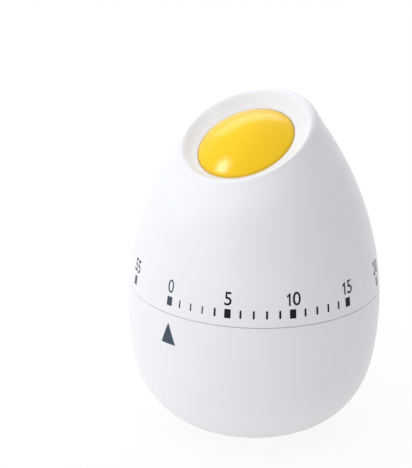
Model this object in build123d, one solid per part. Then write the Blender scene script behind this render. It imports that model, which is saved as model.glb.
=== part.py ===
from build123d import *
import math
import os

# Egg-shaped wind-up kitchen timer. Millimetres and degrees. Z is up, the base stands on Z = 0, and the
# pointer, the dial's zero and the low side of the slanted top face the front, -Y. The upper shell is the
# dial: it turns on the main arbor of a clockwork movement that sits in the lower shell.

# ---- driving dimensions: the egg's outline ----
EGG_RADIUS = 30.0  # at the widest place
EQUATOR_Z = 30.5  # height of the widest place
LOWER_ARC = 74.0  # radius of the side below the widest place
BOTTOM_ARC = 20.2  # radius of the arc that turns in to the base
BASE_CUT = 0.24  # what the flat base takes off the bottom arc
WALL = 2.0
SEAM_Z = 35.0
SEAM_GAP = 0.2

# ---- the slanted top, its dish and the yolk ----
SLANT = 27.0
CREST_Z = 75.45  # where the slanted plane crosses the axis
CONE_HEIGHT = 10.15  # the straight part of the outline below CREST_Z
CREST_MARGIN = 3.53  # from the yolk's radius to the outline's at CREST_Z
RIM_ROUND = 3.2
RIM_FRONT, RIM_BACK, RIM_SIDE = 4.1, 3.3, 0.9  # from the sharp crest in to the mouth of the dish
DISH_DEPTH = 1.85
DISH_FLOOR = 1.8
YOLK_RADIUS = 11.9
YOLK_LEAN = 0.7  # from the middle of the dish's mouth, down the slope
YOLK_HEIGHT = 3.8
YOLK_WALL = 1.4
YOLK_SINK = 0.6  # depth of the pocket round the yolk's edge
SPIGOT_RADIUS = 4.0
SPIGOT_BEAD = 0.35
FIT = 0.1  # between plastic pieces that are pushed together

# ---- shells' inner fittings ----
COLLAR_HEIGHT = 3.0
COLLAR_WALL = 1.3
COLLAR_GAP = 0.4
POST_RADIUS = 2.2
POST_CIRCLE = 21.8
POST_ANGLES = (90, 212, 332)
BELL_BOSS_RADIUS = 3.5
CARRIER_Z = 40.0
CARRIER_THICKNESS = 1.8
CARRIER_CIRCLE = 23.4
CARRIER_EAR = 2.8
CARRIER_ANGLES = (30, 150, 270)
HUB_WALL = 2.4
HUB_LOW = 36.5
HUB_ROOF = 1.5

# ---- movement frame ----
PLATE_RADIUS = 24.0
PLATE_THICKNESS = 1.0
LOWER_PLATE_Z = 12.0
UPPER_PLATE_Z = 28.0
PILLAR_RADIUS = 1.3
PILLARS = ((21.6, 101), (19.0, 180), (19.0, 250), (18.0, 318))
SCREW_RADIUS = 0.95
SCREW_HEAD = 1.7
SCREW_HEAD_HEIGHT = 1.1
CARRIER_SCREW_LENGTH = 7.0
MOVEMENT_SCREW_LENGTH = 4.5
PILLAR_SCREW_RADIUS = 0.7
PILLAR_SCREW_HEAD = 1.3
PILLAR_SCREW_HEIGHT = 0.8
PILLAR_SCREW_LENGTH = 4.0
ACCESS_RADIUS = 2.1

# ---- bell and hammer ----
BELL_RADIUS = 17.0
BELL_WALL = 0.8
BELL_Z = 5.5
BELL_HEIGHT = 5.7
BELL_ROUND = 3.0
HAMMER_CIRCLE = 14.6
HAMMER_ANGLE = 215
HAMMER_SWING = 7.0
HAMMER_REACH = 65  # angle at the centre from the hammer's arbor to its head
HEAD_RADIUS = 1.3
HEAD_HEIGHT = 2.6
STRIKE_GAP = 0.12
ARM_WIDTH = 1.6
ARM_THICKNESS = 0.8
NOSE_RADIUS = 0.5
TAIL_LENGTH = 4.2
TAIL_WIDTH = 1.0
LEAF_STRIP = 0.25  # thickness of the leaf springs

# ---- gear train: teeth, modules and heights ----
GREAT_TEETH, SECOND_TEETH, THIRD_TEETH, ESCAPE_TEETH = 72, 60, 56, 15
SECOND_LEAVES, THIRD_LEAVES, ESCAPE_LEAVES = 8, 8, 7
GREAT_MODULE, SECOND_MODULE, THIRD_MODULE = 0.36, 0.30, 0.26
WHEEL_TOOTH = (1.45, 1.25, 1.6)  # width, addendum and dedendum over the module
LEAF_TOOTH = (1.0, 0.7, 1.75)
THIRD_CIRCLE, ESCAPE_CIRCLE, PALLET_CIRCLE, BALANCE_CIRCLE = 16.0, 16.5, 17.0, 15.0
GREAT_Z, GREAT_THICKNESS = 19.0, 1.0
SECOND_Z, THIRD_Z, ESCAPE_Z = 22.2, 24.4, 21.4
WHEEL_THICKNESS, ESCAPE_THICKNESS = 0.8, 0.6
LEAF_OVERHANG = 0.3  # the leaves stand past both faces of the wheel that drives them
ARBOR_RADIUS = 0.6
PIVOT_RADIUS = 0.3
RUNNING_GAP = 0.05
END_SHAKE = 0.2
TIGHT = 0.02  # between pieces pressed on one arbor
COLLET_RADIUS = 1.4

# ---- main arbor and what it carries ----
MAIN_RADIUS = 2.0
CORE_RADIUS = MAIN_RADIUS + 0.6
MAIN_PIVOT = 1.5
DRIVE_FLAT = 0.7  # depth of the flat on the drive end
DRIVE_TOP = 44.0
CLIP_RADIUS, CLIP_THICKNESS, CLIP_DEPTH = MAIN_RADIUS + 1.4, 0.5, 0.4
WASHER_RADIUS, WASHER_THICKNESS = 5.0, 0.4
RATCHET_TEETH, RATCHET_RADIUS, RATCHET_DEPTH = 24, 4.5, 0.6
RATCHET_THICKNESS = 0.9
CLICK_LENGTH, CLICK_OFFSET, CLICK_EYE, CLICK_STUD = 6.0, 5.3, 1.3, 0.6
CAM_RADIUS, CAM_Z, CAM_THICKNESS, CAM_DEPTH, CAM_NOTCH = 7.5, 26.0, 0.8, 1.9, 30
STOP_CIRCLE, STOP_WIDTH, STOP_ANGLE = 21.0, 1.0, 150
STOP_Z, STOP_THICKNESS = 30.2, 0.8
DIAL_TRAVEL = 354
SPRING_STRIP, SPRING_PITCH, SPRING_HEIGHT, SPRING_TURNS = 0.35, 1.1, 5.0, 8
SPRING_POST = 0.6
SPRING_POST_ANGLE = 240

# ---- escapement ----
ESCAPE_RADIUS, ESCAPE_ROOT = 5.0, 3.8
PALLET_PIN, PALLET_SPAN, PALLET_GAP = 0.25, 30, 0.07
PALLET_DISTANCE = 6.6
PALLET_Z, PALLET_THICKNESS = 22.6, 0.6
BALANCE_DISTANCE = 8.0
IMPULSE_CIRCLE, IMPULSE_PIN, IMPULSE_GAP = 2.0, 0.3, 0.12
ROLLER_RADIUS, ROLLER_THICKNESS, ROLLER_Z = 2.7, 0.4, 23.5
BALANCE_RADIUS, BALANCE_RIM, BALANCE_Z, BALANCE_THICKNESS = 6.5, 1.2, 24.5, 1.2
HAIR_STRIP, HAIR_PITCH, HAIR_HEIGHT, HAIR_TURNS, HAIR_Z = 0.12, 0.5, 0.5, 6, 26.3
STUD_RADIUS = 0.45


# ---- plane helpers ----
def polar(radius, angle):
    return (radius * math.cos(math.radians(angle)), radius * math.sin(math.radians(angle)))


def angle_to(start, end):
    return math.degrees(math.atan2(end[1] - start[1], end[0] - start[0]))


def step(start, distance, angle):
    move = polar(distance, angle)
    return (start[0] + move[0], start[1] + move[1])


def disc(radius, low, high, at=(0, 0), hole=0.0):
    """An upright cylinder from one height to another, with an optional bore."""
    face = Circle(radius) - Circle(hole) if hole else Circle(radius)
    return slab(Pos(*at) * face, low, high)


def slab(face, low, high):
    """A flat piece: a plane outline given thickness between two heights."""
    return Pos(0, 0, low) * extrude(face, high - low)


def bar(start, end, width):
    """A round-ended bar between two points of the plane."""
    middle = ((start[0] + end[0]) / 2, (start[1] + end[1]) / 2)
    length = math.dist(start, end)
    shape = Pos(*middle) * Rot(0, 0, angle_to(start, end)) * Rectangle(length, width)
    return shape + Pos(*start) * Circle(width / 2) + Pos(*end) * Circle(width / 2)


def on_circle(distance, from_circle, from_angle, to_circle):
    """The place on to_circle that lies a distance from a place on from_circle, counter-clockwise of it."""
    cosine = (from_circle**2 + to_circle**2 - distance**2) / (2 * from_circle * to_circle)
    angle = from_angle + math.degrees(math.acos(cosine))
    return polar(to_circle, angle), angle


# ---- places of the arbors ----
GREAT_DISTANCE = GREAT_MODULE * (GREAT_TEETH + SECOND_LEAVES) / 2
SECOND_DISTANCE = SECOND_MODULE * (SECOND_TEETH + THIRD_LEAVES) / 2
THIRD_DISTANCE = THIRD_MODULE * (THIRD_TEETH + ESCAPE_LEAVES) / 2
CENTRE = (0, 0)
SECOND_AT = polar(GREAT_DISTANCE, 0)
THIRD_AT, third_angle = on_circle(SECOND_DISTANCE, GREAT_DISTANCE, 0, THIRD_CIRCLE)
ESCAPE_AT, escape_angle = on_circle(THIRD_DISTANCE, THIRD_CIRCLE, third_angle, ESCAPE_CIRCLE)
PALLET_AT, pallet_angle = on_circle(PALLET_DISTANCE, ESCAPE_CIRCLE, escape_angle, PALLET_CIRCLE)
BALANCE_AT, balance_angle = on_circle(BALANCE_DISTANCE, PALLET_CIRCLE, pallet_angle, BALANCE_CIRCLE)
HAMMER_AT = polar(HAMMER_CIRCLE, HAMMER_ANGLE)
PILLARS_AT = [polar(*place) for place in PILLARS]
POSTS_AT = [polar(POST_CIRCLE, angle) for angle in POST_ANGLES]
PLATE_TOP = LOWER_PLATE_Z + PLATE_THICKNESS
UPPER_PLATE_TOP = UPPER_PLATE_Z + PLATE_THICKNESS


# ---- the egg's outline ----
def shoulder_angle():
    """The slope at which the upper side arc, vertical at the widest place, runs straight on to the crest."""
    inward = EGG_RADIUS - YOLK_RADIUS - CREST_MARGIN
    rise = CREST_Z - CONE_HEIGHT - EQUATOR_Z
    half = 0
    for _ in range(40):
        half = inward / (rise + 2 * CONE_HEIGHT / (1 - half**2))
    return 2 * math.degrees(math.atan(half))


SHOULDER = shoulder_angle()
UPPER_ARC = (CREST_Z - CONE_HEIGHT - EQUATOR_Z) / math.sin(math.radians(SHOULDER))
BOTTOM_Z = BOTTOM_ARC - BASE_CUT
BOTTOM_START = -math.degrees(math.asin((EQUATOR_Z - BOTTOM_Z) / (LOWER_ARC - BOTTOM_ARC)))


def egg(inset, floor):
    """The whole egg as a solid of revolution, inset from its outer surface and cut flat at the floor."""
    upper_centre = (EGG_RADIUS - UPPER_ARC, EQUATOR_Z)
    lower_centre = (EGG_RADIUS - LOWER_ARC, EQUATOR_Z)
    bottom_centre = step(lower_centre, LOWER_ARC - BOTTOM_ARC, BOTTOM_START)
    upper, lower, bottom = UPPER_ARC - inset, LOWER_ARC - inset, BOTTOM_ARC - inset
    foot_angle = math.degrees(math.asin((floor - BOTTOM_Z) / bottom))
    foot = step(bottom_centre, bottom, foot_angle)
    foot_middle = step(bottom_centre, bottom, (foot_angle + BOTTOM_START) / 2)
    waist = step(bottom_centre, bottom, BOTTOM_START)
    waist_middle = step(lower_centre, lower, BOTTOM_START / 2)
    equator = (EGG_RADIUS - inset, EQUATOR_Z)
    side_middle = step(upper_centre, upper, SHOULDER / 2)
    shoulder = step(upper_centre, upper, SHOULDER)
    apex = (0, shoulder[1] + shoulder[0] / math.tan(math.radians(SHOULDER)))

    def up(point):
        return (point[0], 0, point[1])

    outline = Line(up((0, floor)), up(foot))
    outline += ThreePointArc(up(foot), up(foot_middle), up(waist))
    outline += ThreePointArc(up(waist), up(waist_middle), up(equator))
    outline += ThreePointArc(up(equator), up(side_middle), up(shoulder))
    outline += Line(up(shoulder), up(apex))
    outline += Line(up(apex), up((0, floor)))
    return revolve(make_face(outline), Axis.Z)


def egg_radius(height, inset=0.0):
    """The egg's radius at a height between the bottom arc and the cone."""
    side = UPPER_ARC if height > EQUATOR_Z else LOWER_ARC
    return EGG_RADIUS - side + math.sqrt((side - inset) ** 2 - (height - EQUATOR_Z) ** 2)


def layer(low, high):
    """Everything between two heights."""
    return disc(2 * EGG_RADIUS, low, high)


def slant_plane(depth):
    """The plane of the slanted top, or one parallel to it and deeper."""
    tilt = math.radians(SLANT)
    normal = (0, -math.sin(tilt), math.cos(tilt))
    origin = (0, -normal[1] * depth, CREST_Z - normal[2] * depth)
    return Plane(origin=origin, x_dir=(1, 0, 0), z_dir=normal)


def above_slant(depth):
    return slant_plane(depth) * Pos(0, 0, EGG_RADIUS) * Box(4 * EGG_RADIUS, 4 * EGG_RADIUS, 2 * EGG_RADIUS)


def crest_ellipse():
    """Centre up the slope and half-axes of the ellipse where the slanted plane cuts the cone."""
    slope = math.tan(math.radians(SLANT))
    taper = math.tan(math.radians(SHOULDER))
    level = YOLK_RADIUS + CREST_MARGIN
    back, front = level / (1 + slope * taper), level / (1 - slope * taper)
    stretch = 1 / math.cos(math.radians(SLANT))
    return (back - front) / 2 * stretch, (back + front) / 2 * stretch, math.sqrt(back * front)


def mouth_centre():
    """The middle of the dish's mouth, up the slope from the axis."""
    return crest_ellipse()[0] + (RIM_FRONT - RIM_BACK) / 2


# ---- shells and yolk ----
def lower_shell():
    rim_z = SEAM_Z - SEAM_GAP / 2
    shell = (egg(0, 0) - egg(WALL, WALL)) & layer(0, rim_z)
    shell += collar(rim_z)
    for place in POSTS_AT:
        shell += disc(POST_RADIUS, WALL / 2, LOWER_PLATE_Z, place) & egg(WALL / 2, WALL / 2)
    shell += disc(BELL_BOSS_RADIUS, WALL / 2, BELL_Z)
    tip = PLATE_TOP - MOVEMENT_SCREW_LENGTH
    for place in POSTS_AT:
        shell -= disc(SCREW_RADIUS + RUNNING_GAP, tip - FIT, LOWER_PLATE_Z, place)
    return shell - disc(SCREW_RADIUS + RUNNING_GAP, WALL / 2, BELL_Z)


def collar(rim_z):
    """The ring inside the rim that guides the dial, chamfered underneath so that it leaves the mould."""
    outer = egg_radius(SEAM_Z, WALL) - COLLAR_GAP
    low = rim_z - COLLAR_HEIGHT
    ring = disc(outer, low, SEAM_Z + COLLAR_HEIGHT) + disc(egg_radius(SEAM_Z) - WALL / 2, low, rim_z)
    chamfer = Cone(outer + COLLAR_WALL, outer - COLLAR_WALL, 2 * COLLAR_WALL)
    bore = disc(outer - COLLAR_WALL, low, SEAM_Z + COLLAR_HEIGHT)
    return ring - bore - Pos(0, 0, low + COLLAR_WALL) * chamfer


def dish():
    """The hollow of the slanted top: an ellipse at the crest that closes to the yolk's round seat."""
    _, half_long, half_wide = crest_ellipse()
    outline = Ellipse(half_wide - RIM_SIDE, half_long - (RIM_FRONT + RIM_BACK) / 2)
    mouth = slant_plane(0) * Pos(0, mouth_centre()) * outline
    seat = slant_plane(DISH_DEPTH) * Pos(0, mouth_centre() - YOLK_LEAN) * Circle(YOLK_RADIUS + FIT)
    return loft([mouth, seat])


def yolk_seat(depth):
    """The plane of the yolk's seat, centred on the yolk, or one parallel to it and deeper."""
    return slant_plane(DISH_DEPTH + depth) * Pos(0, mouth_centre() - YOLK_LEAN)


def upper_shell():
    body = egg(0, 0) - above_slant(0)
    crest = body.faces().filter_by(GeomType.PLANE).sort_by(Axis.Z)[-1]
    body = fillet(crest.outer_wire().edges(), RIM_ROUND)
    cavity = egg(WALL, WALL) - above_slant(DISH_DEPTH + YOLK_SINK + DISH_FLOOR)
    body -= dish()
    body -= yolk_seat(YOLK_SINK) * extrude(Circle(YOLK_RADIUS + FIT), YOLK_SINK + FIT)
    for angle in CARRIER_ANGLES:
        place = polar(CARRIER_CIRCLE, angle)
        cavity -= disc(POST_RADIUS, CARRIER_Z + CARRIER_THICKNESS, CREST_Z, place)
    body -= cavity
    body &= layer(SEAM_Z + SEAM_GAP / 2, 2 * CREST_Z)
    for angle in CARRIER_ANGLES:
        body -= disc(
            SCREW_RADIUS + RUNNING_GAP,
            CARRIER_Z + CARRIER_THICKNESS,
            CARRIER_Z + CARRIER_SCREW_LENGTH + FIT,
            polar(CARRIER_CIRCLE, angle),
        )
    return body - yolk_seat(YOLK_SINK + DISH_FLOOR + 1) * extrude(Circle(SPIGOT_RADIUS + FIT), DISH_FLOOR + 2)


def yolk_dome():
    """A hollow dome with a snap spigot, drawn upright and then laid on its seat."""
    height = YOLK_HEIGHT + YOLK_SINK
    ball = (YOLK_RADIUS**2 + YOLK_HEIGHT**2) / (2 * YOLK_HEIGHT)
    centre = Pos(0, 0, height - ball)
    column = Pos(0, 0, height / 2) * Cylinder(YOLK_RADIUS, height)
    hollow = (centre * Sphere(ball - YOLK_WALL)) & (
        Pos(0, 0, height / 2) * Cylinder(YOLK_RADIUS - YOLK_WALL, height)
    )
    spigot = disc(SPIGOT_RADIUS, -DISH_FLOOR - 1.2, height - YOLK_WALL / 2)
    bead = disc(SPIGOT_RADIUS + FIT + SPIGOT_BEAD, -DISH_FLOOR - 1.0, -DISH_FLOOR - FIT)
    bore = disc(SPIGOT_RADIUS - YOLK_WALL, -DISH_FLOOR - 2, -FIT)
    dome = ((centre * Sphere(ball)) & column) - hollow + spigot + bead - bore
    return yolk_seat(YOLK_SINK - TIGHT) * dome


def drive_carrier():
    """The moulded disc that joins the dial to the main arbor: ears, arms and a hub with a D-shaped socket."""
    top = CARRIER_Z + CARRIER_THICKNESS
    hub_radius = MAIN_RADIUS + HUB_WALL
    shape = Circle(hub_radius)
    for angle in CARRIER_ANGLES:
        shape += bar(CENTRE, polar(CARRIER_CIRCLE, angle), 2 * CARRIER_EAR)
    shape += Circle(CARRIER_CIRCLE - 3 * CARRIER_EAR)
    for angle in CARRIER_ANGLES:
        shape -= Pos(*polar(CARRIER_CIRCLE, angle)) * Circle(SCREW_RADIUS + FIT)
        shape -= Pos(*polar(hub_radius + 5.5, angle + 60)) * Circle(3)
    carrier = slab(shape, CARRIER_Z, top)
    carrier += disc(hub_radius, HUB_LOW, DRIVE_TOP + HUB_ROOF)
    return carrier - slab(drive_section(RUNNING_GAP), HUB_LOW, DRIVE_TOP + FIT)


def drive_section(gap):
    """The D-shaped section of the arbor's drive end."""
    cut = MAIN_RADIUS - DRIVE_FLAT + gap
    return Circle(MAIN_RADIUS + gap) - Pos(cut + MAIN_RADIUS, 0) * Rectangle(2 * MAIN_RADIUS, 4 * MAIN_RADIUS)


def screw(radius, length, head, head_height, recess=0.5):
    """A pan-head screw, head up, whose head rests on Z = 0."""
    body = disc(radius, -length, 0) + disc(head, 0, head_height)
    slot = slab(Rectangle(2 * head, head / 3.5), head_height * (1 - recess), head_height)
    return body - slot


def screws(places, height, size, flip=False):
    turn = Rot(180, 0, 0) if flip else Rot(0, 0, 0)
    return [Pos(*place, height) * turn * screw(*size) for place in places]


# ---- movement frame ----
def pivot_holes():
    holes = [(SECOND_AT, PIVOT_RADIUS), (THIRD_AT, PIVOT_RADIUS), (ESCAPE_AT, PIVOT_RADIUS)]
    holes += [(PALLET_AT, PIVOT_RADIUS), (BALANCE_AT, PIVOT_RADIUS)]
    return [(place, radius + RUNNING_GAP) for place, radius in holes]


def bottom_plate():
    shape = Circle(PLATE_RADIUS) - Circle(MAIN_PIVOT + RUNNING_GAP)
    for place, radius in pivot_holes():
        shape -= Pos(*place) * Circle(radius)
    shape -= Pos(*HAMMER_AT) * Circle(ARBOR_RADIUS + RUNNING_GAP)
    for place in POSTS_AT:
        shape -= Pos(*place) * Circle(SCREW_RADIUS + FIT)
    for place in PILLARS_AT:
        shape -= Pos(*place) * Circle(PILLAR_SCREW_RADIUS + TIGHT)
    shape -= Pos(*spring_post_at()) * Circle(SPRING_POST + TIGHT)
    return slab(shape, LOWER_PLATE_Z, PLATE_TOP)


def top_plate():
    shape = Circle(PLATE_RADIUS) - Circle(MAIN_RADIUS + RUNNING_GAP)
    for place, radius in pivot_holes() + [(HAMMER_AT, PIVOT_RADIUS + RUNNING_GAP)]:
        shape -= Pos(*place) * Circle(radius)
    for place in POSTS_AT:
        shape -= Pos(*place) * Circle(ACCESS_RADIUS)
    for place in PILLARS_AT:
        shape -= Pos(*place) * Circle(PILLAR_SCREW_RADIUS + FIT)
    shape -= Pos(*stop_pin_at()) * Circle(STOP_WIDTH / 2 + TIGHT)
    shape -= Pos(*hair_stud_at()) * Circle(STUD_RADIUS + TIGHT)
    return slab(shape, UPPER_PLATE_Z, UPPER_PLATE_TOP)


def pillars():
    """Turned pillars: a rivet end through the bottom plate and a tapped hole for the top screw."""
    made = []
    for place in PILLARS_AT:
        pillar = disc(PILLAR_RADIUS, PLATE_TOP, UPPER_PLATE_Z, place)
        pillar += disc(PILLAR_SCREW_RADIUS, LOWER_PLATE_Z, PLATE_TOP, place)
        pillar += disc(PILLAR_RADIUS, LOWER_PLATE_Z - 0.3, LOWER_PLATE_Z, place)
        hole_low = UPPER_PLATE_TOP - PILLAR_SCREW_LENGTH - FIT
        made.append(pillar - disc(PILLAR_SCREW_RADIUS + TIGHT, hole_low, UPPER_PLATE_Z, place))
    return made


# ---- gears ----
def tooth_edges(teeth, module, shape, turn):
    """The outline of a clock gear: radial flanks, pointed tips of two arcs, and round root arcs."""
    width, addendum, dedendum = shape
    pitch = module * teeth / 2
    tip, root = pitch + addendum * module, pitch - dedendum * module
    half = math.degrees(width * module / 2 / pitch)
    edges = []
    for index in range(teeth):
        middle = turn + 360 * index / teeth
        before, after = middle - half, middle + half
        crown = polar(tip, middle)
        next_root = middle + 360 / teeth - half
        edges.append(Line(polar(root, before), polar(pitch, before)))
        edges.append(TangentArc(polar(pitch, before), crown, tangent=polar(1, before)))
        edges.append(TangentArc(polar(pitch, after), crown, tangent=polar(1, after)))
        edges.append(Line(polar(pitch, after), polar(root, after)))
        valley = (after + next_root) / 2
        edges.append(ThreePointArc(polar(root, after), polar(root, valley), polar(root, next_root)))
    return edges


def gear(teeth, module, shape, turn, low, high, at, hole):
    face = make_face(Wire(Curve() + tooth_edges(teeth, module, shape, turn))) - Circle(hole)
    return slab(Pos(*at) * face, low, high)


def lightened(wheel, radius, at, low, high, count=5):
    """The wheel with a ring of round holes between its hub and its rim."""
    for index in range(count):
        wheel -= disc(radius * 0.24, low, high, step(at, radius * 0.56, 360 * (index + 0.5) / count))
    return wheel


def arbor(at, low=LOWER_PLATE_Z, high=UPPER_PLATE_TOP):
    """A train arbor with a thin pivot at each end, running in the two plates."""
    shaft = disc(ARBOR_RADIUS, PLATE_TOP + END_SHAKE, UPPER_PLATE_Z - END_SHAKE, at)
    return shaft + disc(PIVOT_RADIUS, low, high, at)


def pinion_arbor(at, leaves, module, driver_at, driver_z, driver_thickness, collet_z):
    """An arbor with its pinion, whose gap faces the driving wheel, and a collet under its own wheel."""
    turn = angle_to(at, driver_at) + 180 / leaves
    low, high = driver_z - LEAF_OVERHANG, driver_z + driver_thickness + LEAF_OVERHANG
    pinion = gear(leaves, module, LEAF_TOOTH, turn, low, high, at, ARBOR_RADIUS / 2)
    collet = disc(COLLET_RADIUS, collet_z - 0.6, collet_z, at)
    return arbor(at) + pinion + collet


def train_wheel(at, teeth, module, low, next_at):
    """A wheel pressed on its arbor, with one tooth pointing at the next pinion."""
    high = low + WHEEL_THICKNESS
    wheel = gear(teeth, module, WHEEL_TOOTH, angle_to(at, next_at), low, high, at, ARBOR_RADIUS + TIGHT)
    return lightened(wheel, module * teeth / 2, at, low, high)


def great_wheel():
    high = GREAT_Z + GREAT_THICKNESS
    turn = angle_to(CENTRE, SECOND_AT)
    bore = MAIN_RADIUS + RUNNING_GAP
    wheel = gear(GREAT_TEETH, GREAT_MODULE, WHEEL_TOOTH, turn, GREAT_Z, high, CENTRE, bore)
    return wheel - disc(CLICK_STUD + TIGHT, GREAT_Z, high, click_point(CLICK_LENGTH, CLICK_OFFSET))


def escape_wheel():
    """Fifteen narrow upright teeth, one of them on the line to the pallet arbor."""
    pitch = 360 / ESCAPE_TEETH
    points = []
    for index in range(ESCAPE_TEETH):
        middle = angle_to(ESCAPE_AT, PALLET_AT) + pitch * index
        points += [polar(ESCAPE_ROOT, middle - pitch * 0.22), polar(ESCAPE_RADIUS, middle - pitch * 0.05)]
        points += [polar(ESCAPE_RADIUS, middle + pitch * 0.05), polar(ESCAPE_ROOT, middle + pitch * 0.14)]
    face = make_face(Polyline(*points, close=True)) - Circle(ARBOR_RADIUS + TIGHT)
    high = ESCAPE_Z + ESCAPE_THICKNESS
    return lightened(slab(Pos(*ESCAPE_AT) * face, ESCAPE_Z, high), ESCAPE_ROOT, ESCAPE_AT, ESCAPE_Z, high, 4)


# ---- main arbor, ratchet, cam and stop ----
WASHER_Z = GREAT_Z - WASHER_THICKNESS - RUNNING_GAP
RATCHET_Z = GREAT_Z + GREAT_THICKNESS + RUNNING_GAP
CLIP_Z = UPPER_PLATE_TOP + END_SHAKE


def main_arbor():
    shaft = disc(MAIN_PIVOT, LOWER_PLATE_Z - 1, PLATE_TOP + END_SHAKE)
    shaft += disc(CORE_RADIUS, PLATE_TOP + END_SHAKE, WASHER_Z - TIGHT)
    shaft += disc(MAIN_RADIUS, WASHER_Z - TIGHT, STOP_Z + STOP_THICKNESS)
    shaft -= disc(2 * MAIN_RADIUS, CLIP_Z, CLIP_Z + CLIP_THICKNESS, hole=MAIN_RADIUS - CLIP_DEPTH)
    return shaft + slab(drive_section(0), STOP_Z + STOP_THICKNESS, DRIVE_TOP)


def arbor_clip():
    ring = Circle(CLIP_RADIUS) - Circle(MAIN_RADIUS - CLIP_DEPTH + TIGHT)
    ring -= Pos(CLIP_RADIUS, 0) * Rectangle(2 * CLIP_RADIUS, 2 * (MAIN_RADIUS - CLIP_DEPTH) - 0.2)
    return slab(ring, CLIP_Z + TIGHT, CLIP_Z + CLIP_THICKNESS - TIGHT)


def ratchet_wheel():
    """Saw teeth whose steep sides push the click as the spring unwinds."""
    pitch = 360 / RATCHET_TEETH
    points = []
    for index in range(RATCHET_TEETH):
        points += [polar(RATCHET_RADIUS, pitch * index), polar(RATCHET_RADIUS - RATCHET_DEPTH, pitch * index)]
    face = make_face(Polyline(*points, close=True)) - Circle(MAIN_RADIUS + TIGHT)
    return slab(face, RATCHET_Z, RATCHET_Z + RATCHET_THICKNESS)


def click_point(along, outward):
    """A place on the great wheel, along the click from its nose and out from the centre, to the front."""
    return (along, -outward)


def click():
    nose = RATCHET_RADIUS - RATCHET_DEPTH + 0.18
    points = [(0.08, nose), (1.25, RATCHET_RADIUS + 0.14), (CLICK_LENGTH, CLICK_OFFSET - CLICK_EYE)]
    points += [(CLICK_LENGTH, CLICK_OFFSET + CLICK_EYE), (0.08, RATCHET_RADIUS + 0.9)]
    shape = make_face(Polyline(*[click_point(*point) for point in points], close=True))
    pivot = click_point(CLICK_LENGTH, CLICK_OFFSET)
    shape += Pos(*pivot) * Circle(CLICK_EYE)
    shape -= Pos(*pivot) * Circle(CLICK_STUD + RUNNING_GAP)
    return slab(shape, RATCHET_Z, RATCHET_Z + RATCHET_THICKNESS)


def click_stud():
    pivot = click_point(CLICK_LENGTH, CLICK_OFFSET)
    low = RATCHET_Z + RATCHET_THICKNESS + RUNNING_GAP
    return disc(CLICK_STUD, GREAT_Z, low, pivot) + disc(CLICK_STUD + 0.5, low, low + 0.3, pivot)


def click_spring():
    """A leaf fixed to the great wheel by its foot, whose free end lies on the click's back."""
    foot, tip = click_point(-5.5, 7.6), click_point(0.9, RATCHET_RADIUS + 1.35)
    shape = bar(foot, tip, LEAF_STRIP) + Pos(*foot) * Circle(0.9)
    return slab(shape, RATCHET_Z, RATCHET_Z + RATCHET_THICKNESS)


def release_cam():
    """A disc with one notch, open under the hammer's nose while the dial is at or near zero."""
    nose, spread = nose_at(), CAM_NOTCH / 2
    middle = angle_to(CENTRE, nose) - (360 - DIAL_TRAVEL) / 2
    notch = [polar(CAM_RADIUS - CAM_DEPTH, middle - spread * 0.7), polar(CAM_RADIUS + 1, middle - spread)]
    notch += [polar(CAM_RADIUS + 1, middle + spread), polar(CAM_RADIUS - CAM_DEPTH, middle + spread * 0.7)]
    face = Circle(CAM_RADIUS) - make_face(Polyline(*notch, close=True)) - Circle(MAIN_RADIUS + TIGHT)
    return slab(face, CAM_Z, CAM_Z + CAM_THICKNESS)


def stop_pin_at():
    return polar(STOP_CIRCLE, STOP_ANGLE)


def stop_pin():
    return disc(STOP_WIDTH / 2, UPPER_PLATE_Z, STOP_Z + STOP_THICKNESS + 0.3, stop_pin_at())


def stop_finger():
    """The arm that meets the stop pin from either side at the two ends of the dial's travel."""
    angle = STOP_ANGLE - (360 - DIAL_TRAVEL) / 2
    shape = bar(CENTRE, polar(STOP_CIRCLE + 0.6, angle), STOP_WIDTH) + Circle(CLIP_RADIUS)
    return slab(shape - Circle(MAIN_RADIUS + TIGHT), STOP_Z, STOP_Z + STOP_THICKNESS)


def friction_washer():
    return disc(WASHER_RADIUS, WASHER_Z, WASHER_Z + WASHER_THICKNESS, hole=MAIN_RADIUS + RUNNING_GAP)


# ---- spiral springs ----
def spiral_reach(core, pitch, strip, turns):
    """The radius of the outer face of a spiral wound on a core."""
    return core + TIGHT + strip + pitch * turns


def spiral(core, pitch, strip, turns):
    """A flat spiral strip of half circles, whose whole turns start and end on the X axis."""
    inner_edges, outer_edges = [], []
    for index in range(2 * turns):
        radius = core + TIGHT + strip / 2 + pitch / 4 + pitch * index / 2
        centre = (-pitch / 4 * (-1) ** index, 0)
        angle = 180 * index
        for edges, reach in ((inner_edges, radius - strip / 2), (outer_edges, radius + strip / 2)):
            start, middle, end = (step(centre, reach, angle + turn) for turn in (0, 90, 180))
            edges.append(ThreePointArc(start, middle, end))
    caps = [Line(inner_edges[0] @ 0, outer_edges[0] @ 0), Line(inner_edges[-1] @ 1, outer_edges[-1] @ 1)]
    return make_face(Wire(Curve() + inner_edges + outer_edges + caps))


def hooked_spiral(at, angle, size, post_radius, gap):
    """A spiral whose outer end closes round a post."""
    core, pitch, strip, turns = size
    reach = spiral_reach(core, pitch, strip, turns) + post_radius + gap
    eye = Pos(reach, 0) * Circle(post_radius + gap + strip)
    face = spiral(core, pitch, strip, turns) + eye - Pos(reach, 0) * Circle(post_radius + gap)
    return Pos(*at) * Rot(0, 0, angle) * face


MAINSPRING = (CORE_RADIUS, SPRING_PITCH, SPRING_STRIP, SPRING_TURNS)
HAIRSPRING = (COLLET_RADIUS, HAIR_PITCH, HAIR_STRIP, HAIR_TURNS)


def spring_post_at():
    return polar(spiral_reach(*MAINSPRING) + SPRING_POST + RUNNING_GAP, SPRING_POST_ANGLE)


def spring_post():
    return disc(SPRING_POST, LOWER_PLATE_Z, PLATE_TOP + SPRING_HEIGHT + 2 * END_SHAKE, spring_post_at())


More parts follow.
